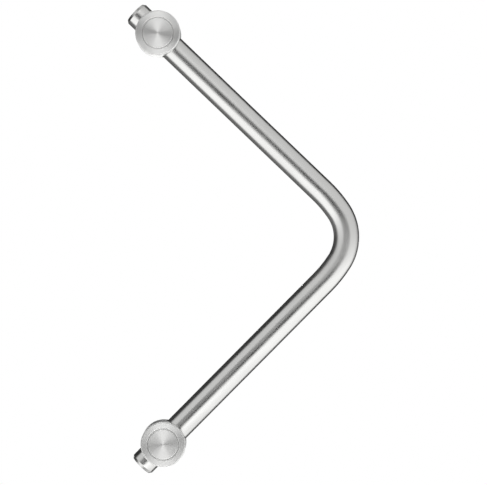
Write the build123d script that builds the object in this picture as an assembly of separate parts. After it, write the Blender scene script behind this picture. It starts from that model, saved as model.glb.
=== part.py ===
from build123d import *
import os
from math import atan2, cos, degrees, radians, sin, tan

# An angled cabinet handle: a round steel bar bent to a V and carried by two turned posts.
# The door's face is the plane y = 0 and the handle stands off it towards -Y. The two fixing
# holes lie one above the other on the Z axis, with the origin halfway between them, and the
# bend points to +X. Lengths are in millimetres and angles in degrees.

# Bar
HOLE_CENTRES = 192.0  # between the axes of the two posts
FINGER_GAP = 23.0  # clear space between the bar and the door
BAR_DIAMETER = 12.0
ARM_ANGLE = 89.0  # between the two straight arms
BEND_RADIUS = 21.7  # of the centreline, in the middle of the bend
LEAD_RADIUS = 60.0  # of the centreline, where each arm eases into the bend
LEAD_ANGLE = 12.0  # turned through in each of these easements
BAR_OVERHANG = 15.2  # from a post's axis to the end of the bar
END_BEVEL_LENGTH = 1.3  # of the bevel round each end, along the bar
END_BEVEL_DEPTH = 1.0  # and square to the bar

# Posts
HEAD_DIAMETER = 21.0
HEAD_LENGTH = 14.0  # of the head's straight wall, from its face
FACE_WALL = 3.5  # metal between the bar and the head's face
FACE_BEVEL = 0.5
GROOVE_DIAMETER = 14.5  # of the V groove turned in the face, at its bottom
GROOVE_WIDTH = 0.9
GROOVE_DEPTH = 0.4
SHOULDER_LENGTH = 9.0  # of the ogee that brings the head down to the neck
SHOULDER_ROUND = 4.5  # radius of the ogee's rounded edge, next to the head
NECK_DIAMETER = 12.0
FOOT_BEVEL = 0.4
BORE_BREAK = 0.3  # bevel round both mouths of the bar's bore

# Thread for the screw that comes through the door, at its nominal diameter
FIXING_THREAD = 4.0
FIXING_DEPTH = 12.0
FIXING_MOUTH = 0.4  # countersink at the foot, on the radius
DRILL_POINT = 118.0  # angle left at the bottom of the threaded hole

# Set screw that locks the bar, at its nominal diameter, and its conical seat in the bar
SCREW_THREAD = 3.0
SCREW_LENGTH = 6.0
SCREW_BEVEL = 0.3
POINT_ANGLE = 90.0
KEY_WIDTH = 1.5  # across the flats of the hexagon socket
KEY_DEPTH = 1.6
SEAT_DEPTH = 1.0

# Clearances, on the radius or along the axis
BORE_CLEARANCE = 0.05  # round the bar in each post
SCREW_CLEARANCE = 0.05  # round the set screw in its hole
POINT_CLEARANCE = 0.03  # between the set screw's point and its seat

bar_radius = BAR_DIAMETER / 2
bar_depth = FINGER_GAP + bar_radius
post_height = HOLE_CENTRES / 2
arm_slope = ARM_ANGLE / 2
seat_bottom = -FINGER_GAP - SEAT_DEPTH
half_point = radians(POINT_ANGLE / 2)


def bar_path():
    """Centreline of the bar, from its upper end to its lower one, in the plane of the bar.

    Each arm crosses a post's axis. The bend is a tight arc between two gentler ones, tangent to
    each other and to the arms.
    """
    half_turn = radians(90 - arm_slope)
    lead = radians(LEAD_ANGLE)
    # from the start of the bend to its middle, along the arm and square to it
    along = LEAD_RADIUS * sin(lead) + BEND_RADIUS * (sin(half_turn) - sin(lead))
    aside = LEAD_RADIUS * (1 - cos(lead)) + BEND_RADIUS * (cos(lead) - cos(half_turn))
    # from the start of the bend to the point where the two arms would meet
    tangent_length = along + aside * tan(half_turn)
    straight = post_height / sin(radians(arm_slope)) - tangent_length

    down = Vector(cos(radians(arm_slope)), -sin(radians(arm_slope)))
    upper_post_axis = Vector(0, post_height)
    arm_in = Line(upper_post_axis - down * BAR_OVERHANG, upper_post_axis + down * straight)
    lead_in = JernArc(arm_in @ 1, arm_in % 1, LEAD_RADIUS, -LEAD_ANGLE)
    middle_turn = 180 - ARM_ANGLE - 2 * LEAD_ANGLE
    bend = JernArc(lead_in @ 1, lead_in % 1, BEND_RADIUS, -middle_turn)
    lead_out = JernArc(bend @ 1, bend % 1, LEAD_RADIUS, -LEAD_ANGLE)
    arm_out = Line(lead_out @ 1, lead_out @ 1 + (lead_out % 1) * (straight + BAR_OVERHANG))
    return Plane.XZ.offset(bar_depth) * Wire([arm_in, lead_in, bend, lead_out, arm_out])


def handle_bar():
    """Round bar along its centreline, with bevelled ends and a seat for each set screw at its back."""
    path = bar_path()
    bar = sweep(Plane(path @ 0, z_dir=path % 0) * Circle(bar_radius), path=path)
    for end in (path @ 0, path @ 1):
        flat = bar.faces().sort_by_distance(end)[0]
        bar = chamfer(flat.edges(), END_BEVEL_DEPTH, END_BEVEL_LENGTH, reference=flat)
    seat_reach = 2 * SEAT_DEPTH
    for height in (post_height, -post_height):
        opening = Plane((0, seat_bottom, height), z_dir=(0, 1, 0))
        bar -= opening * Cone(
            0, seat_reach * tan(half_point), seat_reach, align=(Align.CENTER, Align.CENTER, Align.MIN)
        )
    return bar


def post():
    """Turned post on the Y axis, foot at the door, with its bore for the bar along X.

    A half section is turned about the axis: grooved face, head, ogee shoulder, neck, foot, and
    inside it the fixing hole that steps down to the set screw's hole.
    """
    face = -(FINGER_GAP + BAR_DIAMETER + FACE_WALL)
    head_radius = HEAD_DIAMETER / 2
    neck_radius = NECK_DIAMETER / 2
    groove_radius = GROOVE_DIAMETER / 2
    fixing_radius = FIXING_THREAD / 2
    screw_radius = SCREW_THREAD / 2
    step_depth = (fixing_radius - screw_radius) / tan(radians(DRILL_POINT / 2))

    head = Polyline(
        (0, face),
        (groove_radius - GROOVE_WIDTH / 2, face),
        (groove_radius, face + GROOVE_DEPTH),
        (groove_radius + GROOVE_WIDTH / 2, face),
        (head_radius - FACE_BEVEL, face),
        (head_radius, face + FACE_BEVEL),
        (head_radius, face + HEAD_LENGTH),
    )
    # two arcs of equal sweep, the first turning in to the axis and the second back along it
    ogee_sweep = 2 * atan2(head_radius - neck_radius, SHOULDER_LENGTH)
    both_radii = SHOULDER_LENGTH / sin(ogee_sweep)
    round_over = JernArc(head @ 1, (0, 1), SHOULDER_ROUND, degrees(ogee_sweep))
    hollow = JernArc(round_over @ 1, round_over % 1, both_radii - SHOULDER_ROUND, -degrees(ogee_sweep))
    rest = Polyline(
        hollow @ 1,
        (neck_radius, -FOOT_BEVEL),
        (neck_radius - FOOT_BEVEL, 0),
        (fixing_radius + FIXING_MOUTH, 0),
        (fixing_radius, -FIXING_MOUTH),
        (fixing_radius, -FIXING_DEPTH),
        (screw_radius, -FIXING_DEPTH - step_depth),
        (screw_radius, -bar_depth),
        (0, -bar_depth),
        head @ 0,
    )
    turned = revolve(make_face([head, round_over, hollow, rest]), Axis.Y)
    across = Plane((0, -bar_depth, 0), z_dir=(1, 0, 0))
    bore = across * Cylinder(bar_radius + BORE_CLEARANCE, 2 * HEAD_DIAMETER)
    bored = turned - bore
    cut_edges = new_edges(turned, bore, combined=bored)
    mouths = cut_edges.filter_by(lambda edge: abs(edge.center().X) > neck_radius)
    return chamfer(mouths, BORE_BREAK)


def set_screw():
    """Socket set screw on the Y axis, its cone point in the bar's seat and its socket facing the foot."""
    radius = SCREW_THREAD / 2 - SCREW_CLEARANCE
    tip = seat_bottom + POINT_CLEARANCE
    end = tip + SCREW_LENGTH
    section = Polyline(
        (0, tip),
        (radius, tip + radius / tan(half_point)),
        (radius, end - SCREW_BEVEL),
        (radius - SCREW_BEVEL, end),
        (0, end),
        close=True,
    )
    body = revolve(make_face(section), Axis.Y)
    socket = RegularPolygon(KEY_WIDTH / 2, 6, major_radius=False)
    return body - extrude(Plane((0, end, 0), z_dir=(0, -1, 0)) * socket, KEY_DEPTH)


pieces = {"handle_bar": handle_bar()}
for name, height, turn in (("upper", post_height, arm_slope), ("lower", -post_height, -arm_slope)):
    place = Pos(0, 0, height) * Rot(0, turn, 0)
    pieces[name + "_post"] = place * post()
    pieces[name + "_set_screw"] = place * set_screw()

os.makedirs("parts", exist_ok=True)
for node, solid in pieces.items():
    export_step(solid, os.path.join("parts", node + ".step"))
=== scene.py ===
"""Looks of an angled cabinet handle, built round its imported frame.

The door's face is the plane y = 0, the handle stands off it towards -Y, the two fixing holes lie
one above the other on the Z axis, and the bend points to +X. Lengths are in metres.
"""

from math import asin, atan2, cos, pi, radians, sin, tan

import bmesh
import bpy
import numpy as np
from bpy.props import FloatProperty, FloatVectorProperty, PointerProperty
from bpy.types import Operator, Panel, PropertyGroup
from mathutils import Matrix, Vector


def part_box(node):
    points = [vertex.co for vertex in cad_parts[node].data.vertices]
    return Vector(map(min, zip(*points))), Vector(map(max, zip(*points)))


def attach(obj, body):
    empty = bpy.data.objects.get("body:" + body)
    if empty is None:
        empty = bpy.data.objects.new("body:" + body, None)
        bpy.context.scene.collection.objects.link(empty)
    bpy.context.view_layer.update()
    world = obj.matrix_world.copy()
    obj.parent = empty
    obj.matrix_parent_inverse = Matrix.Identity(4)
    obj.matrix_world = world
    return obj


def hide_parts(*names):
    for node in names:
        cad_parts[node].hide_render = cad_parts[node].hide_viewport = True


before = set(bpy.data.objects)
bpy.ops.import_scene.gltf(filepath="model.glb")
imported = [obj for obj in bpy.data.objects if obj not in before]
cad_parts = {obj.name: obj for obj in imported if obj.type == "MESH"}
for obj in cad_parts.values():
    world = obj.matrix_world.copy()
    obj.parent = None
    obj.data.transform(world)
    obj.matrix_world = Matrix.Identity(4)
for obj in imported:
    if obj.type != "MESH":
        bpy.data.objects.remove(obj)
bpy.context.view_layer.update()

bl_info = {
    "name": "Angled cabinet handle",
    "version": (1, 0, 0),
    "blender": (4, 5, 0),
    "location": "3D View > Sidebar > Handle",
    "description": "Builds the bar, the posts and the studio of an angled cabinet handle",
    "category": "Add Mesh",
}

BODY = "root"
ENDS = (("upper", 1), ("lower", -1))  # each end of the handle and its side of the middle

# Sizes that the frame gives, to a tenth of a millimetre, which leaves out the facets of its meshes
BAR_LOW, BAR_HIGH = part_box("handle_bar")
POST_LOW, POST_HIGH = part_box("upper_post")
BAR_DIAMETER = round(BAR_HIGH.y - BAR_LOW.y, 4)
BAR_DEPTH = -round((BAR_LOW.y + BAR_HIGH.y) / 2, 4)
HOLE_CENTRES = round(POST_LOW.z + POST_HIGH.z, 4)
POST_REACH = -round(POST_LOW.y, 4)
HEAD_DIAMETER = round(POST_HIGH.z - POST_LOW.z, 4)

# How finely the surfaces are divided
ROUND_STEPS = 96
ARM_STEPS = 24
LEAD_STEPS = 14
BEND_STEPS = 56
MOUTH_STEPS = 32
WALL_STEPS = 40
SHOULDER_STEPS = 40
CORNER_STEPS = 5
THREAD_STEPS = 48
FLOOR_RINGS = 12
FLOOR_STEPS = 64
LIP_ROUNDS = 30  # of the search for the bore's edge on the ogee
ROUND_OFF = 1e-9  # share of a length that counts as nothing
MERGE_DISTANCE = 1e-7
SMOOTH_ANGLE = radians(32)

# Corners of the thread's ridge: towards the axis in shares of its height, along it in shares of
# the pitch. The foot lies a little inside the wall.
RIDGE_INWARDS = (-0.1, 1.0, 1.0, -0.1, -0.1)
RIDGE_SIDEWAYS = (-0.44, -0.08, 0.08, 0.44, -0.44)

# Tool marks: how many in a metre, their breaks round the axis, and duller patches in a metre
MARK_INPUTS = ("Marks per metre", "Breaks round", "Patches per metre")
BAR_MARKS = (1800.0, 1.5, 60.0)
POST_MARKS = (1800.0, 0.6, 150.0)
FACE_MARKS = (2600.0, 0.6, 150.0)
THREAD_MARKS = (4000.0, 0.6, 400.0)
PATCH_BREAKS = 0.8  # of the duller patches, round the axis
PATCH_RANGE = (0.3, 0.7)  # of the noise that makes them, from bright to dull
PATCH_SWING = 0.04  # of the roughness, both ways
GROUND_SPREAD = 0.35  # how far the marks of ground steel spread its gloss across them
FACE_SPREAD = 0.98  # and those of the turned faces
DARK_RIM, BRIGHT_RIM = 0.0, 1.0  # what steel keeps of its gloss where it is seen edge on
BEND_ZONE = 1.3  # reach of the duller bend to each side, in half bends of the tight radius
GROOVE_PAINTED_SHADE_ZONE = ((-1.0, 0.0), (0.5, 1.5))  # soft edges of the groove's painted shade, in its half widths
SCREW_MOTTLES = 2500.0  # per metre
SCREW_ROUGHNESS = (0.28, 0.5)

# The studio that the steel mirrors, by directions of length 1. A pair holds where a soft edge
# starts and where it ends, and two pairs bound a stretch. Levels multiply where parts overlap.
# A bright panel below fades upwards, and straight down and straight up are dimmer:
PANEL_EDGE = (-0.55, 0.05)
POLE_EDGE = (0.76, 0.90)
POLE_LEVELS = (0.36, 0.6)
# A strip of light runs overhead and underneath:
STRIP_WIDE = ((-0.40, -0.20), (0.20, 0.40))
STRIP_EDGE = (0.30, 0.50)
# A long dark flag at the front tapers to the right and grows lighter to the upper left:
FLAG_TAPER = 0.8
FLAG_WIDE = ((-0.50, -0.40), (0.44, 0.54))
FLAG_HIGH = ((-0.23, -0.19), (0.18, 0.22))
FLAG_FRONT = (-0.15, -0.25)
FLAG_EDGE = (0.08, 0.25)
FLAG_LEVELS = (0.0, 0.3)
# A round black flag stands at its left end:
ROUND_FLAG_CENTRE = (-0.42, -0.88, 0.22)
ROUND_FLAG_EDGE = (0.22, 0.10)
ROUND_FLAG_LEVEL = 0.0
# A dark ring, darker above, runs round the back and is open where the strip passes:
RING_AXIS = (-0.27, 0.961, 0.05)
RING_REACH = ((0.12, 0.35), (0.84, 0.96))
RING_EDGE = (-0.3, 0.3)
RING_LEVELS = (0.16, 0.05)
# The middle of the back is bright, but dark above the horizon on the left:
BACK_EDGE = (-0.03, 0.05)
BACK_DARK = 0.05

# Floor, lamp and camera
WHITE = (1.0, 1.0, 1.0, 1.0)
FLOOR_RADIUS = 2.0
FLOOR_FADE = (0.35, 0.6)  # distances between which the floor fades to white
KEY_PLACE = (-0.35, -0.45, 0.8)
KEY_TURN = (radians(30), radians(-24), 0.0)
KEY_SIZE = 0.2
SENSOR_WIDTH = 36.0  # millimetres


def length(name, description, default):
    """A length in metres that the user can change."""
    return FloatProperty(
        name=name, description=description, default=default, min=0.0, precision=5, unit="LENGTH"
    )


def angle(name, description, default):
    """An angle that the user can change, given here in degrees."""
    return FloatProperty(
        name=name, description=description, default=radians(default), subtype="ANGLE"
    )


def share(name, description, default, highest=1.0):
    """A plain number from 0 up that the user can change."""
    return FloatProperty(
        name=name, description=description, default=default, min=0.0, max=highest, subtype="FACTOR"
    )


def colour(name, description, default):
    """A colour that the user can change."""
    return FloatVectorProperty(
        name=name, description=description, default=default, min=0.0, max=1.0, subtype="COLOR"
    )


class BarSettings(PropertyGroup):
    """Sizes of the bent bar."""

    diameter: length("Diameter", "Across the bar", BAR_DIAMETER)
    depth: length("Depth", "From the door to the bar's centreline", BAR_DEPTH)
    hole_centres: length("Hole centres", "Between the axes of the two posts", HOLE_CENTRES)
    arm_angle: angle("Arm angle", "Between the two straight arms", 89.0)
    bend_radius: length("Bend radius", "Of the centreline, in the middle of the bend", 0.0217)
    lead_radius: length("Lead radius", "Of the centreline, where an arm eases into the bend", 0.060)
    lead_angle: angle("Lead angle", "Turned through in each easement", 12.0)
    overhang: length("Overhang", "From a post's axis to the end of the bar", 0.0152)
    bevel_length: length("Bevel length", "Of the bevel round each end, along the bar", 0.0013)
    bevel_depth: length("Bevel depth", "Of the bevel round each end, square to the bar", 0.001)
    end_easing: length("End easing", "How far from the bevel's edges their easing starts", 0.00012)


class PostSettings(PropertyGroup):
    """Sizes of the turned posts."""

    reach: length("Reach", "From the door to the post's face", POST_REACH)
    head_diameter: length("Head diameter", "Across the head", HEAD_DIAMETER)
    head_length: length("Head length", "Of the head's straight wall, from its face", 0.014)
    face_bevel: length("Face bevel", "Of the edge round the face", 0.0005)
    groove_diameter: length("Groove diameter", "Of the V groove in the face, at its bottom", 0.0145)
    groove_width: length("Groove width", "Across the V groove", 0.0009)
    groove_depth: length("Groove depth", "Of the V groove", 0.0004)
    shoulder_length: length("Shoulder length", "Of the ogee between head and neck", 0.009)
    shoulder_round: length("Shoulder round", "Radius of the ogee's rounded edge", 0.0045)
    neck_diameter: length("Neck diameter", "Across the neck", 0.012)
    foot_bevel: length("Foot bevel", "Of the edge round the foot", 0.0004)
    bore_clearance: length("Bore clearance", "Between the bar and its bore", 0.00005)
    bore_break: length("Bore break", "Bevel round the mouths of the bore", 0.0003)
    edge_easing: length("Edge easing", "How far from a turned edge its easing starts", 0.00008)


class FixingSettings(PropertyGroup):
    """Sizes of the threaded hole behind each post."""

    thread_diameter: length("Thread diameter", "Nominal diameter of the thread", 0.004)
    thread_depth: length("Thread depth", "From the foot to the end of the thread", 0.012)
    thread_mouth: length("Thread mouth", "Countersink at the foot, on the radius", 0.0004)
    thread_pitch: length("Thread pitch", "From one ridge to the next", 0.0007)
    thread_height: length("Thread height", "Of the ridge, towards the axis", 0.00038)
    screw_diameter: length("Screw diameter", "Of the narrower hole that holds the set screw", 0.003)
    drill_point: angle("Drill point", "Angle left at the bottom of the threaded hole", 118.0)


class FinishSettings(PropertyGroup):
    """Colours and polish of the steel."""

    steel: colour("Steel", "Ground stainless steel", (0.62, 0.62, 0.61))
    steel_dull: colour("Dull steel", "Where the ground steel is duller", (0.585, 0.585, 0.575))
    # Painted light: the faces are the same steel as the sides, painted lighter so that the faces
    # turned to the front read brighter; their dull patches are painted lighter too
    face_steel_painted_lighter: colour("Face steel", "Turned faces of the posts", (0.84, 0.84, 0.83))
    face_dull_painted_lighter: colour("Dull face steel", "Where the faces are a little duller", (0.80, 0.80, 0.79))
    # Painted shade: the groove's colour is darkened to this share of the steel's, standing in for
    # the shade that falls in the groove
    groove_painted_shade: share("Groove shade", "What is left of the steel's colour in the groove", 0.78)
    screw_steel: colour("Screw steel", "Steel of the set screws", (0.45, 0.45, 0.44))
    ground_roughness: share("Ground roughness", "Of the ground bar and the posts' sides", 0.27)
    bend_roughness: share("Bend roughness", "Of the bar where the bending dulls it", 0.37)
    face_roughness: share("Face roughness", "Of the posts' turned faces", 0.42)
    thread_roughness: share("Thread roughness", "Of the cut threads", 0.4)
    ground_marks: length("Ground marks", "Depth of the grinding marks", 0.0000008)
    face_marks: length("Face marks", "Depth of the turning marks on the faces", 0.000004)


class StageSettings(PropertyGroup):
    """Camera, floor and light."""

    camera_place: FloatVectorProperty(
        name="Camera place",
        description="Where the camera stands",
        default=(0.03873, -0.92395, -0.00231),
        subtype="TRANSLATION",
        unit="LENGTH",
        precision=5,
    )
    camera_roll: angle("Camera roll", "How far the camera leans to its right", 0.743)
    lens: FloatProperty(
        name="Lens",
        description="Focal length for a sensor 36 mm wide",
        default=140.45,
        unit="CAMERA",
    )
    floor_drop: length("Floor drop", "From the middle of the handle down to the floor", 0.20)
    floor: colour("Floor", "Colour of the floor", (0.80, 0.80, 0.80))
    ambient: share("Ambient", "Strength of the world as a light", 0.55)
    upper_level: share("Upper level", "Brightness of the studio above, where 1 is white", 0.93, 2.0)
    panel_level: share("Panel level", "Brightness of the light panel below", 1.6, 2.0)
    strip_gain: share("Strip gain", "How many times brighter the strip of light is", 1.45, 2.0)
    back_level: share("Back level", "How many times brighter the middle of the back is", 1.3, 2.0)
    key_power: FloatProperty(
        name="Key power", description="Power of the soft lamp above", default=7.0, unit="POWER"
    )


class HandleSettings(PropertyGroup):
    """Everything that can be changed about the handle."""

    bar: PointerProperty(type=BarSettings)
    post: PointerProperty(type=PostSettings)
    fixing: PointerProperty(type=FixingSettings)
    finish: PointerProperty(type=FinishSettings)
    stage: PointerProperty(type=StageSettings)


# Meshes


def grid_faces(rows, columns):
    """Corners of the quads between neighbouring rows and columns of a grid numbered row by row."""
    corner = np.arange(rows * columns).reshape(rows, columns)
    quads = [corner[:-1, :-1], corner[:-1, 1:], corner[1:, 1:], corner[1:, :-1]]
    return np.stack(quads, axis=-1).reshape(-1, 4)


def summed(steps):
    """The sum of the steps up to each row, from 0 before the first."""
    return np.concatenate([np.zeros_like(steps[:1]), np.cumsum(steps, axis=0)])


def walked(points):
    """Distance walked along each column of a grid of points, from its first row."""
    return summed(np.linalg.norm(np.diff(points, axis=0), axis=-1))


def make_piece(name, patches, finishes):
    """A piece that rides on the frame, from patches: grids of points, each with its turn round the
    axis and the number of its finish.

    Rows and columns that meet are merged, which closes seams and poles. The UV map has u along the
    columns, across the tool's marks, and v round the axis. The attribute chart holds the same as
    (distance along the column, cosine of the turn, sine of the turn), which has no seam.
    """
    grids, turns, numbers = zip(*patches)
    points = np.concatenate([grid.reshape(-1, 3) for grid in grids])
    run = np.concatenate([walked(grid).ravel() for grid in grids])
    turn = np.concatenate(
        [np.broadcast_to(turn, grid.shape[:2]).ravel() for grid, turn in zip(grids, turns)]
    )
    starts = np.cumsum([0] + [grid[..., 0].size for grid in grids])
    quads = [grid_faces(*grid.shape[:2]) for grid in grids]
    faces = np.concatenate([quad + start for quad, start in zip(quads, starts)])
    finish = np.repeat(numbers, [len(quad) for quad in quads])
    chart = np.stack([run, np.cos(turn), np.sin(turn)], axis=1)
    marks = np.stack([run, turn / (2 * pi)], axis=1)[faces.ravel()]

    mesh = bpy.data.meshes.new(name)
    mesh.from_pydata(points.tolist(), [], faces.tolist())
    charted = mesh.attributes.new("chart", "FLOAT_VECTOR", "POINT")
    charted.data.foreach_set("vector", chart.astype(np.float32).ravel())
    mesh.uv_layers.new(name="marks").data.foreach_set("uv", marks.astype(np.float32).ravel())
    for material in finishes:
        mesh.materials.append(material)
    mesh.polygons.foreach_set("material_index", finish.astype(np.int32))

    merged = bmesh.new()
    merged.from_mesh(mesh)
    bmesh.ops.remove_doubles(merged, verts=merged.verts, dist=MERGE_DISTANCE)
    bmesh.ops.recalc_face_normals(merged, faces=merged.faces)
    merged.to_mesh(mesh)
    merged.free()
    mesh.shade_smooth()
    mesh.set_sharp_from_angle(angle=SMOOTH_ANGLE)

    piece = bpy.data.objects.new(name, mesh)
    bpy.context.scene.collection.objects.link(piece)
    weighted = piece.modifiers.new("Face weighted normals", "WEIGHTED_NORMAL")
    weighted.keep_sharp = True
    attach(piece, BODY)
    return piece


def eased(corners, easing):
    """A profile of straight lines whose inner corners are eased.

    Each inner corner C becomes the parabola (1-w)^2 A + 2w(1-w) C + w^2 B, where A and B lie on the
    lines before and after it, the easing's distance from the corner.
    """
    corners = np.asarray(corners)
    inner = corners[1:-1]
    before = corners[:-2] - inner
    after = corners[2:] - inner
    a = inner + before / np.linalg.norm(before, axis=1, keepdims=True) * easing
    b = inner + after / np.linalg.norm(after, axis=1, keepdims=True) * easing
    w = np.linspace(0, 1, CORNER_STEPS)[None, :, None]
    curves = (1 - w) ** 2 * a[:, None] + 2 * w * (1 - w) * inner[:, None] + w**2 * b[:, None]
    return np.concatenate([corners[:1], curves.reshape(-1, 2), corners[-1:]])


# Bar


def bar_stretches(bar):
    """Distances along the centreline at which its stretches start and end, and the heading at each.

    Arm, lead, bend, lead, arm: the heading stays the same along an arm and falls steadily along
    an arc. An arm's length is the overhang and the way from the post's axis to the point where
    both arms would meet, less what the bend takes of it.
    """
    slope, lead_turn = bar.arm_angle / 2, bar.lead_angle
    half_turn = pi / 2 - slope
    along = bar.lead_radius * sin(lead_turn) + bar.bend_radius * (sin(half_turn) - sin(lead_turn))
    aside = bar.lead_radius * (1 - cos(lead_turn))
    aside += bar.bend_radius * (cos(lead_turn) - cos(half_turn))
    arm = bar.overhang + bar.hole_centres / 2 / sin(slope) - along - aside * tan(half_turn)
    middle_turn = 2 * (half_turn - lead_turn)
    lead = bar.lead_radius * lead_turn
    distances = np.cumsum([0, arm, lead, bar.bend_radius * middle_turn, lead, arm])
    headings = -slope - np.cumsum([0, 0, lead_turn, middle_turn, lead_turn, 0])
    return distances, headings


def bar_surface(bar):
    """The bar's skin: a circle carried along the centreline, drawn in to a point at both ends.

    At distance s the centre is the sum of the steps so far, a step of length d that turns
    through a being d * sin(a/2) / (a/2) along its middle heading. The radius is the bar's, less
    the eased bevel of each end. A point is centre + radius * (cos(turn) * side + sin(turn) * Y).
    """
    knots, headings = bar_stretches(bar)
    total, radius, bevel = knots[-1], bar.diameter / 2, bar.bevel_length
    end = eased(
        [(0, 0), (0, radius - bar.bevel_depth), (bevel, radius), (2 * bevel, radius)],
        bar.end_easing,
    )
    stops = np.concatenate([[2 * bevel], knots[1:-1], [total - 2 * bevel]])
    steps = (ARM_STEPS, LEAD_STEPS, BEND_STEPS, LEAD_STEPS, ARM_STEPS)
    spans = [np.linspace(a, b, n, endpoint=False) for a, b, n in zip(stops, stops[1:], steps)]
    middle = np.concatenate(spans)[1:]
    s = np.concatenate([end[:, 0], middle, total - end[::-1, 0]])
    r = np.concatenate([end[:, 1], np.full_like(middle, radius), end[::-1, 1]])

    heading = np.interp(s, knots, headings)
    turned = np.diff(heading)
    halfway = heading[:-1] + turned / 2
    step = np.diff(s) * np.sinc(turned / (2 * pi))
    start_x = -bar.overhang * cos(headings[0])
    start_z = bar.hole_centres / 2 - bar.overhang * sin(headings[0])
    x = start_x + summed(step * np.cos(halfway))
    z = start_z + summed(step * np.sin(halfway))

    turn = np.linspace(0, 2 * pi, ROUND_STEPS + 1)
    across = r[:, None] * np.cos(turn)
    out = r[:, None] * np.sin(turn)
    points = np.stack(
        [
            x[:, None] - np.sin(heading)[:, None] * across,
            out - bar.depth,
            z[:, None] + np.cos(heading)[:, None] * across,
        ],
        axis=-1,
    )
    return points, turn


# Posts


def shoulder_radius(post, y):
    """Radius of the head and its ogee at the height y over the door, from two arcs of equal sweep.

    The first arc bulges from the head's wall, the second is hollow and runs into the neck. Before
    them the radius is the head's.
    """
    head, neck = post.head_diameter / 2, post.neck_diameter / 2
    start = post.head_length - post.reach
    end = start + post.shoulder_length
    sweep = 2 * atan2(head - neck, post.shoulder_length)
    bulge = post.shoulder_round
    hollow = post.shoulder_length / sin(sweep) - bulge
    down = np.clip(y - start, 0, bulge * sin(sweep))
    up = np.clip(end - y, 0, hollow * sin(sweep))
    on_bulge = head - bulge + np.sqrt(bulge**2 - down**2)
    on_hollow = neck + hollow - np.sqrt(hollow**2 - up**2)
    return np.where(y < start + bulge * sin(sweep), on_bulge, on_hollow)


def spun(radius, y, turn):
    """Points at a radius from the Y axis, turned from X towards Z."""
    radius, y, turn = np.broadcast_arrays(radius, y, turn)
    return np.stack([radius * np.cos(turn), y, radius * np.sin(turn)], axis=-1)


def face_profile(post):
    """Radius and height of the grooved face and its bevelled edge, from the axis outwards."""
    face, head = -post.reach, post.head_diameter / 2
    groove, half_width = post.groove_diameter / 2, post.groove_width / 2
    return eased(
        [
            (0, face),
            (groove - half_width, face),
            (groove, face + post.groove_depth),
            (groove + half_width, face),
            (head - post.face_bevel, face),
            (head, face + post.face_bevel),
            (head, face + 2 * post.face_bevel),
        ],
        post.edge_easing,
    )


def foot_profile(post, bar, fixing, start):
    """Radius and height of the neck below its start, of the foot and of the stepped hole in it."""
    neck, bottom = post.neck_diameter / 2, bar.diameter / 2 - bar.depth
    thread, screw = fixing.thread_diameter / 2, fixing.screw_diameter / 2
    step = (thread - screw) / tan(fixing.drill_point / 2)
    return eased(
        [
            (neck, start),
            (neck, -post.foot_bevel),
            (neck - post.foot_bevel, 0),
            (thread + fixing.thread_mouth, 0),
            (thread, -fixing.thread_mouth),
            (thread, -fixing.thread_depth),
            (screw, -fixing.thread_depth - step),
            (screw, bottom),
            (0, bottom),
        ],
        post.edge_easing,
    )[1:]


def bore_lips(post, axis, mouth, turn):
    """Heights at which the bore's mouths cut the skin, before and behind the bore's axis.

    There the skin is the mouth's radius from that axis, at the height
    axis -+ sqrt(mouth^2 - (radius * sin turn)^2). Behind the axis the skin's radius falls along
    the ogee, so rounds of the same formula close in on the height. Beside the mouths both are
    the axis's own height.
    """
    head = post.head_diameter / 2
    front = axis - np.sqrt(np.clip(mouth**2 - (head * np.sin(turn)) ** 2, 0, None))
    back = np.full_like(turn, axis)
    for _ in range(LIP_ROUNDS):
        off_axis = shoulder_radius(post, back) * np.sin(turn)
        back = axis + np.sqrt(np.clip(mouth**2 - off_axis**2, 0, None))
    beside = np.abs(head * np.sin(turn)) >= mouth * (1 - ROUND_OFF)
    front[beside] = axis
    back[beside] = axis
    return front, back


def post_surface(post, bar, fixing):
    """The skin of a post on the Y axis whose bore for the bar runs along X, as four patches.

    Face: its profile turned about the axis. Front: the head's wall up to the bore's mouths.
    Back: from the mouths over the ogee, then the profile of neck, foot and stepped hole, turned.
    Front and back meet at the bore's middle height, where no mouth parts them.
    Bore: the bevel of one mouth, the wall through to the other mouth and its bevel.
    """
    axis, head = -bar.depth, post.head_diameter / 2
    bore = bar.diameter / 2 + post.bore_clearance
    mouth = bore + post.bore_break
    half_mouth = asin(mouth / head)
    at_mouth = np.arcsin(mouth / head * np.sin(np.linspace(-pi / 2, pi / 2, MOUTH_STEPS + 1)))
    at_wall = np.linspace(half_mouth, pi - half_mouth, WALL_STEPS + 1)[1:-1]
    turn = np.concatenate([at_mouth, at_wall, pi + at_mouth, pi + at_wall, [2 * pi - half_mouth]])
    front_lip, back_lip = bore_lips(post, axis, mouth, turn)
    down = np.linspace(0, 1, SHOULDER_STEPS)[:, None]

    face_line = face_profile(post)
    face = spun(face_line[:, :1], face_line[:, 1:], turn)
    wall_start = face_line[-1, 1]
    wall = wall_start + (front_lip - wall_start) * down[1:]
    front = np.concatenate([face[-1:], spun(head, wall, turn)])

    shoulder_end = -post.reach + post.head_length + post.shoulder_length
    over = back_lip + (shoulder_end - back_lip) * down
    foot_line = foot_profile(post, bar, fixing, shoulder_end)
    foot = spun(foot_line[:, :1], foot_line[:, 1:], turn)
    back = np.concatenate([spun(shoulder_radius(post, over), over, turn), foot])

    last = MOUTH_STEPS + 1
    lip = np.concatenate([front[-1, :last], back[0, :last][::-1], front[-1, :1]])
    centre = np.array([0, axis, 0])
    inner = centre + (lip - centre) * bore / mouth
    skin = np.sqrt(shoulder_radius(post, inner[:, 1]) ** 2 - inner[:, 2] ** 2)
    inner[:, 0] = skin - post.bore_break
    other_side = np.array([-1, 1, 1])
    through = np.stack([lip, inner, inner * other_side, lip * other_side])
    round_bore = np.linspace(0, 2 * pi, len(lip))
    return [(face, turn, 1), (front, turn, 0), (back, turn, 0), (through, round_bore, 0)]


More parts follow.
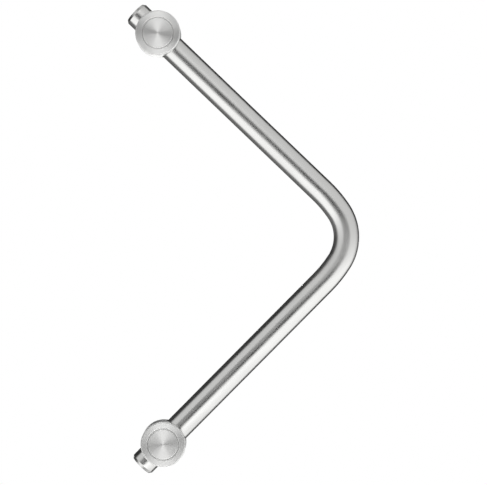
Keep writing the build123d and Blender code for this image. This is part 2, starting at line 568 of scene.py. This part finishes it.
def turned_about_y(points, turn, height):
    """Points turned about the Y axis and raised."""
    x, y, z = np.moveaxis(points, -1, 0)
    across, along = x * cos(turn) + z * sin(turn), z * cos(turn) - x * sin(turn)
    return np.stack([across, y, along + height], axis=-1)


def thread_surface(fixing):
    """A ridge wound inside the threaded hole on the Y axis.

    At the turn t the ridge's four-cornered section stands at the depth mouth + pitch * t / 2 pi.
    Its height and width fade to nothing over the first and the last half turn.
    """
    wound = fixing.thread_depth - 2 * fixing.thread_mouth
    turns = wound / fixing.thread_pitch
    t = np.linspace(0, 2 * pi * turns, int(turns * THREAD_STEPS))[:, None]
    fade = np.clip(np.minimum(t, t[-1] - t) / pi, 0, 1)
    inwards = np.array(RIDGE_INWARDS) * fixing.thread_height
    sideways = np.array(RIDGE_SIDEWAYS) * fixing.thread_pitch
    radius = fixing.thread_diameter / 2 - inwards * fade
    y = -fixing.thread_mouth - fixing.thread_pitch * t / (2 * pi) + sideways * fade
    return spun(radius, y, t), np.linspace(0, 2 * pi, inwards.size)


# Nodes


def new_node(tree, kind, links=None, **values):
    """A node of a tree, with values for its attributes and links or values for its inputs."""
    node = tree.nodes.new(kind)
    for key, value in values.items():
        setattr(node, key, value)
    for key, value in (links or {}).items():
        if isinstance(value, bpy.types.NodeSocket):
            tree.links.new(value, node.inputs[key])
        else:
            node.inputs[key].default_value = value
    return node


def worked_out(tree, operation, *values):
    """The result of one operation on up to three values."""
    return new_node(tree, "ShaderNodeMath", dict(enumerate(values)), operation=operation).outputs[0]


def ramp(tree, value, start, end):
    """A soft rise from 0 where a value is at the start to 1 where it is at the end."""
    return new_node(
        tree,
        "ShaderNodeMapRange",
        {"Value": value, "From Min": start, "From Max": end},
        interpolation_type="SMOOTHSTEP",
    ).outputs[0]


def between(tree, value, low, high):
    """1 where a value lies between two bounds and 0 outside, each bound a pair with a soft edge."""
    return worked_out(
        tree, "MULTIPLY", ramp(tree, value, *low), ramp(tree, value, *reversed(high))
    )


def scaled(tree, amount, none, full):
    """A value that goes from none to full as an amount goes from 0 to 1."""
    ends = {"Value": amount, "To Min": none, "To Max": full}
    return new_node(tree, "ShaderNodeMapRange", ends).outputs[0]


def blank_material(name):
    """A material with an empty node tree."""
    material = bpy.data.materials.new(name)
    material.use_nodes = True
    material.node_tree.nodes.clear()
    return material


# Finishes


def tool_marks():
    """Node group: the marks that a tool leaves as the piece turns under it, and its duller patches.

    Height is noise on the chart, quick across the marks and slow round the axis. Dullness is slow
    noise both ways.
    """
    tree = bpy.data.node_groups.new("tool_marks", "ShaderNodeTree")
    for name, default in zip(MARK_INPUTS, BAR_MARKS):
        socket = tree.interface.new_socket(name, in_out="INPUT", socket_type="NodeSocketFloat")
        socket.default_value = default
    for name in ("Height", "Dullness"):
        tree.interface.new_socket(name, in_out="OUTPUT", socket_type="NodeSocketFloat")

    given = new_node(tree, "NodeGroupInput").outputs
    number, breaks, patches = (given[name] for name in MARK_INPUTS)
    chart = new_node(tree, "ShaderNodeAttribute", attribute_name="chart").outputs["Vector"]

    def noise(along, round_axis, detail, roughness):
        """Noise on the chart, so many to a metre along the column and so many round the axis."""
        scale = new_node(
            tree, "ShaderNodeCombineXYZ", {"X": along, "Y": round_axis, "Z": round_axis}
        ).outputs[0]
        place = new_node(
            tree, "ShaderNodeVectorMath", {0: chart, 1: scale}, operation="MULTIPLY"
        ).outputs[0]
        return new_node(
            tree,
            "ShaderNodeTexNoise",
            {"Vector": place, "Scale": 1.0, "Detail": detail, "Roughness": roughness},
        ).outputs["Fac"]

    height = noise(number, breaks, detail=3.0, roughness=0.6)
    dullness = noise(patches, PATCH_BREAKS, detail=4.0, roughness=0.55)
    new_node(tree, "NodeGroupOutput", {"Height": height, "Dullness": dullness})
    return tree


def shared_marks():
    """The node group of tool marks, made on first use."""
    return bpy.data.node_groups.get("tool_marks") or tool_marks()


def steel_finish(
    name,
    shades,
    roughness,
    marks,
    depth,
    spread,
    rim,
    zone=None,
    zone_roughness=0.0,
    zone_painted_shade=1.0,
):
    """Steel with tool marks round the axis, which spread its gloss across them.

    The shades are those of bright and of dull patches. The depth is that of the marks, the spread
    is the shader's anisotropy, and the rim is how bright the steel is where it is seen edge on.
    The zone, if there is one, is its two bounds along the column, the zone's roughness is what it
    adds to the roughness, and its painted shade is what it leaves of the colour: shade painted into
    the colour, as in the groove of the faces.
    """
    material = blank_material(name)
    tree = material.node_tree
    made = new_node(
        tree, "ShaderNodeGroup", dict(zip(MARK_INPUTS, marks)), node_tree=shared_marks()
    ).outputs
    bright, dull = ((*shade, 1.0) for shade in shades)
    shade = new_node(
        tree,
        "ShaderNodeMix",
        {"Factor": made["Dullness"], "A": bright, "B": dull},
        data_type="RGBA",
    ).outputs[2]
    polish = new_node(
        tree,
        "ShaderNodeMapRange",
        {
            "Value": made["Dullness"],
            "From Min": PATCH_RANGE[0],
            "From Max": PATCH_RANGE[1],
            "To Min": roughness - PATCH_SWING,
            "To Max": roughness + PATCH_SWING,
        },
    ).outputs[0]
    if zone:
        chart = new_node(tree, "ShaderNodeAttribute", attribute_name="chart").outputs["Vector"]
        run = new_node(tree, "ShaderNodeSeparateXYZ", {0: chart}).outputs["X"]
        inside = between(tree, run, *zone)
        polish = worked_out(tree, "MULTIPLY_ADD", inside, zone_roughness, polish)
        # Painted shade: inside the zone the colour is scaled down to the zone's painted shade
        left = scaled(tree, inside, 1.0, zone_painted_shade)
        shade = new_node(
            tree, "ShaderNodeVectorMath", {0: shade, "Scale": left}, operation="SCALE"
        ).outputs[0]
    bump = new_node(
        tree, "ShaderNodeBump", {"Height": made["Height"], "Strength": 1.0, "Distance": depth}
    )
    tangent = new_node(tree, "ShaderNodeTangent", direction_type="UV_MAP", uv_map="marks")
    surface = new_node(
        tree,
        "ShaderNodeBsdfPrincipled",
        {
            "Base Color": shade,
            "Metallic": 1.0,
            "Roughness": polish,
            "Specular Tint": (rim, rim, rim, 1.0),
            "Anisotropic": spread,
            "Normal": bump.outputs[0],
            "Tangent": tangent.outputs[0],
        },
    )
    new_node(tree, "ShaderNodeOutputMaterial", {"Surface": surface.outputs[0]})
    return material


def screw_finish(finish):
    """Plain stainless steel of the set screws, a little mottled, on Object coordinates."""
    material = blank_material("screw_finish")
    tree = material.node_tree
    place = new_node(tree, "ShaderNodeTexCoord").outputs["Object"]
    mottle = new_node(
        tree, "ShaderNodeTexNoise", {"Vector": place, "Scale": SCREW_MOTTLES, "Detail": 3.0}
    ).outputs["Fac"]
    surface = new_node(
        tree,
        "ShaderNodeBsdfPrincipled",
        {
            "Base Color": (*finish.screw_steel, 1.0),
            "Metallic": 1.0,
            "Roughness": scaled(tree, mottle, *SCREW_ROUGHNESS),
        },
    )
    new_node(tree, "ShaderNodeOutputMaterial", {"Surface": surface.outputs[0]})
    return material


class HANDLE_OT_make_bar(Operator):
    """Build the bent bar with its bevelled ends and ground finish"""

    bl_idname = "handle.make_bar"
    bl_label = "Bent bar"

    def execute(self, context):
        bar, finish = context.scene.handle.bar, context.scene.handle.finish
        grid, turn = bar_surface(bar)
        middle = walked(grid)[-1, 0] / 2
        half_bend = bar.bend_radius * (pi / 2 - bar.arm_angle / 2)
        reach = BEND_ZONE * half_bend
        steel = steel_finish(
            "ground_bar",
            shades=(finish.steel, finish.steel_dull),
            roughness=finish.ground_roughness,
            marks=BAR_MARKS,
            depth=finish.ground_marks,
            spread=GROUND_SPREAD,
            rim=DARK_RIM,
            zone=((middle - reach, middle), (middle, middle + reach)),
            zone_roughness=finish.bend_roughness - finish.ground_roughness,
        )
        piece = make_piece("bent_bar", [(grid, turn, 0)], [steel])
        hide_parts("handle_bar")
        return {"FINISHED"}


class HANDLE_OT_make_posts(Operator):
    """Build the two turned posts, each bored in line with its own arm of the bar"""

    bl_idname = "handle.make_posts"
    bl_label = "Turned posts"

    def execute(self, context):
        handle = context.scene.handle
        finish = handle.finish
        side_steel = steel_finish(
            "ground_post",
            shades=(finish.steel, finish.steel_dull),
            roughness=finish.ground_roughness,
            marks=POST_MARKS,
            depth=finish.ground_marks,
            spread=GROUND_SPREAD,
            rim=BRIGHT_RIM,
        )
        groove, half_width = handle.post.groove_diameter / 2, handle.post.groove_width / 2
        # Painted light: the faces get a lighter copy of the sides' steel colour, so that they read
        # brighter where they face the front
        face_steel_painted_lighter = steel_finish(
            "turned_face",
            shades=(finish.face_steel_painted_lighter, finish.face_dull_painted_lighter),
            roughness=finish.face_roughness,
            marks=FACE_MARKS,
            depth=finish.face_marks,
            spread=FACE_SPREAD,
            rim=DARK_RIM,
            # Painted shade: the face's colour is darkened in and beside the V groove, standing in
            # for the shade in it
            zone=[[groove + half_width * edge for edge in pair] for pair in GROOVE_PAINTED_SHADE_ZONE],
            zone_painted_shade=finish.groove_painted_shade,
        )
        patches = post_surface(handle.post, handle.bar, handle.fixing)
        slope, height = handle.bar.arm_angle / 2, handle.bar.hole_centres / 2
        for place, side in ENDS:
            placed = [
                (turned_about_y(grid, side * slope, side * height), turn, number)
                for grid, turn, number in patches
            ]
            piece = make_piece(
                place + "_turned_post", placed, [side_steel, face_steel_painted_lighter]
            )
            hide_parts(place + "_post")
        return {"FINISHED"}


class HANDLE_OT_make_fixings(Operator):
    """Wind the threads in the fixing holes and finish the set screws that lock the bar"""

    bl_idname = "handle.make_fixings"
    bl_label = "Threads and set screws"

    def execute(self, context):
        handle = context.scene.handle
        finish = handle.finish
        grid, turn = thread_surface(handle.fixing)
        thread_steel = steel_finish(
            "cut_thread",
            shades=(finish.steel, finish.steel_dull),
            roughness=finish.thread_roughness,
            marks=THREAD_MARKS,
            depth=finish.ground_marks,
            spread=GROUND_SPREAD,
            rim=BRIGHT_RIM,
        )
        screw_steel = screw_finish(finish)
        for place, side in ENDS:
            wound = turned_about_y(grid, 0.0, side * handle.bar.hole_centres / 2)
            make_piece(place + "_thread", [(wound, turn, 0)], [thread_steel])
            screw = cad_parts[place + "_set_screw"]
            screw.data.materials.clear()
            screw.data.materials.append(screw_steel)
        return {"FINISHED"}


# Stage


def studio_level(tree, stage):
    """Brightness of the studio that the steel mirrors, by direction: the product of its parts."""
    direction = new_node(tree, "ShaderNodeTexCoord").outputs["Generated"]
    x, y, z = new_node(tree, "ShaderNodeSeparateXYZ", {0: direction}).outputs
    above = ramp(tree, z, *PANEL_EDGE)
    off_level = worked_out(tree, "ABSOLUTE", z)
    to_upper_left = worked_out(tree, "SUBTRACT", z, x)

    pole = ramp(tree, off_level, *POLE_EDGE)
    pole_level = scaled(tree, above, *POLE_LEVELS)
    strip = worked_out(
        tree, "MULTIPLY", between(tree, x, *STRIP_WIDE), ramp(tree, off_level, *STRIP_EDGE)
    )

    taper = worked_out(tree, "MULTIPLY_ADD", x, FLAG_TAPER, 1.0)
    tapered = worked_out(tree, "MULTIPLY", z, taper)
    flag = worked_out(
        tree, "MULTIPLY", between(tree, x, *FLAG_WIDE), between(tree, tapered, *FLAG_HIGH)
    )
    flag = worked_out(tree, "MULTIPLY", flag, ramp(tree, y, *FLAG_FRONT))
    flag_level = scaled(tree, ramp(tree, to_upper_left, *FLAG_EDGE), *FLAG_LEVELS)
    off_centre = new_node(
        tree, "ShaderNodeVectorMath", {0: direction, 1: ROUND_FLAG_CENTRE}, operation="DISTANCE"
    ).outputs["Value"]
    round_flag = ramp(tree, off_centre, *ROUND_FLAG_EDGE)

    backwards = new_node(
        tree, "ShaderNodeVectorMath", {0: direction, 1: RING_AXIS}, operation="DOT_PRODUCT"
    ).outputs["Value"]
    beside_strip = scaled(tree, strip, 1.0, 0.0)
    ring = worked_out(tree, "MULTIPLY", between(tree, backwards, *RING_REACH), beside_strip)
    ring_level = scaled(tree, ramp(tree, z, *RING_EDGE), *RING_LEVELS)
    back = ramp(tree, backwards, *RING_REACH[1])
    back_dark = worked_out(
        tree, "MULTIPLY", ramp(tree, z, *BACK_EDGE), ramp(tree, to_upper_left, *BACK_EDGE)
    )
    back_level = scaled(tree, back_dark, stage.back_level, BACK_DARK)

    level = scaled(tree, above, stage.panel_level, stage.upper_level)
    for amount, full in (
        (pole, pole_level),
        (strip, stage.strip_gain),
        (flag, flag_level),
        (round_flag, ROUND_FLAG_LEVEL),
        (ring, ring_level),
        (back, back_level),
    ):
        level = worked_out(tree, "MULTIPLY", level, scaled(tree, amount, 1.0, full))
    return level


def studio_world(stage):
    """A world that is white to the camera, a studio to steel and an even light on dull things."""
    world = bpy.data.worlds.new("studio")
    world.use_nodes = True
    tree = world.node_tree
    tree.nodes.clear()
    path = new_node(tree, "ShaderNodeLightPath").outputs
    seen = worked_out(tree, "MAXIMUM", path["Is Camera Ray"], path["Is Transmission Ray"])
    level = new_node(
        tree,
        "ShaderNodeMix",
        {
            "Factor": path["Is Glossy Ray"],
            "A": scaled(tree, seen, stage.ambient, 1.0),
            "B": studio_level(tree, stage),
        },
    ).outputs[0]
    light = new_node(tree, "ShaderNodeBackground", {"Color": WHITE, "Strength": level})
    new_node(tree, "ShaderNodeOutputWorld", {"Surface": light.outputs[0]})
    bpy.context.scene.world = world


def floor_finish(stage):
    """A pale floor that fades to the white of the world away from the handle."""
    material = blank_material("pale_floor")
    tree = material.node_tree
    place = new_node(tree, "ShaderNodeTexCoord").outputs["Object"]
    away = new_node(tree, "ShaderNodeVectorMath", {0: place}, operation="LENGTH").outputs["Value"]
    path = new_node(tree, "ShaderNodeLightPath").outputs
    seen = worked_out(tree, "MAXIMUM", path["Is Camera Ray"], path["Is Glossy Ray"])
    seen = worked_out(tree, "MAXIMUM", seen, path["Is Transmission Ray"])
    pale = new_node(tree, "ShaderNodeBsdfDiffuse", {"Color": (*stage.floor, 1.0)})
    white = new_node(tree, "ShaderNodeEmission", {"Color": WHITE, "Strength": seen})
    surface = new_node(
        tree,
        "ShaderNodeMixShader",
        {0: ramp(tree, away, *FLOOR_FADE), 1: pale.outputs[0], 2: white.outputs[0]},
    )
    new_node(tree, "ShaderNodeOutputMaterial", {"Surface": surface.outputs[0]})
    return material


def lay_floor(stage):
    """A round, flat floor, which the steel doesn't mirror: rings about the Z axis at one height."""
    radius, turn = np.meshgrid(
        np.linspace(0, FLOOR_RADIUS, FLOOR_RINGS),
        np.linspace(0, 2 * pi, FLOOR_STEPS + 1),
        indexing="ij",
    )
    level = np.full_like(radius, -stage.floor_drop)
    points = np.stack([radius * np.cos(turn), radius * np.sin(turn), level], axis=-1)
    mesh = bpy.data.meshes.new("floor")
    mesh.from_pydata(points.reshape(-1, 3).tolist(), [], grid_faces(*radius.shape).tolist())
    mesh.materials.append(floor_finish(stage))
    sheet = bpy.data.objects.new("floor", mesh)
    sheet.visible_glossy = False
    bpy.context.scene.collection.objects.link(sheet)


def hang_key_lamp(stage):
    """A soft square lamp that neither the camera nor the steel shows."""
    light = bpy.data.lights.new("key_lamp", "AREA")
    light.shape = "RECTANGLE"
    light.size = light.size_y = KEY_SIZE
    light.energy = stage.key_power
    lamp = bpy.data.objects.new("key_lamp", light)
    lamp.location = KEY_PLACE
    lamp.rotation_euler = KEY_TURN
    lamp.visible_camera = False
    lamp.visible_glossy = False
    bpy.context.scene.collection.objects.link(lamp)


def place_camera(stage):
    """A camera that looks along +Y, square to the door, with a slight roll."""
    camera = bpy.data.objects.new("camera", bpy.data.cameras.new("camera"))
    camera.data.lens = stage.lens
    camera.data.sensor_width = SENSOR_WIDTH
    camera.location = stage.camera_place
    camera.rotation_euler = (pi / 2, stage.camera_roll, 0)
    bpy.context.scene.collection.objects.link(camera)
    bpy.context.scene.camera = camera


class HANDLE_OT_make_stage(Operator):
    """Lay the floor, set the light and place the camera"""

    bl_idname = "handle.make_stage"
    bl_label = "Studio"

    def execute(self, context):
        stage = context.scene.handle.stage
        context.scene.view_settings.view_transform = "Standard"
        studio_world(stage)
        lay_floor(stage)
        hang_key_lamp(stage)
        place_camera(stage)
        return {"FINISHED"}


class HANDLE_PT_build(Panel):
    """Sizes, colours and steps of the handle"""

    bl_label = "Cabinet handle"
    bl_idname = "HANDLE_PT_build"
    bl_space_type = "VIEW_3D"
    bl_region_type = "UI"
    bl_category = "Handle"

    def draw(self, context):
        handle = context.scene.handle
        for group, operator in (
            (handle.bar, HANDLE_OT_make_bar),
            (handle.post, HANDLE_OT_make_posts),
            (handle.fixing, HANDLE_OT_make_fixings),
            (handle.finish, None),
            (handle.stage, HANDLE_OT_make_stage),
        ):
            box = self.layout.box()
            for name in group.__annotations__:
                box.prop(group, name)
            if operator:
                box.operator(operator.bl_idname)


CLASSES = (
    BarSettings,
    PostSettings,
    FixingSettings,
    FinishSettings,
    StageSettings,
    HandleSettings,
    HANDLE_OT_make_bar,
    HANDLE_OT_make_posts,
    HANDLE_OT_make_fixings,
    HANDLE_OT_make_stage,
    HANDLE_PT_build,
)


def register():
    """Adds the classes to Blender and the settings to its scenes."""
    for item in CLASSES:
        bpy.utils.register_class(item)
    bpy.types.Scene.handle = PointerProperty(type=HandleSettings)


def unregister():
    """Takes the settings and the classes out again."""
    del bpy.types.Scene.handle
    for item in reversed(CLASSES):
        bpy.utils.unregister_class(item)


def main():
    """Builds the handle and its studio."""
    register()
    bpy.ops.handle.make_bar()
    bpy.ops.handle.make_posts()
    bpy.ops.handle.make_fixings()
    bpy.ops.handle.make_stage()


if __name__ == "__main__":
    main()
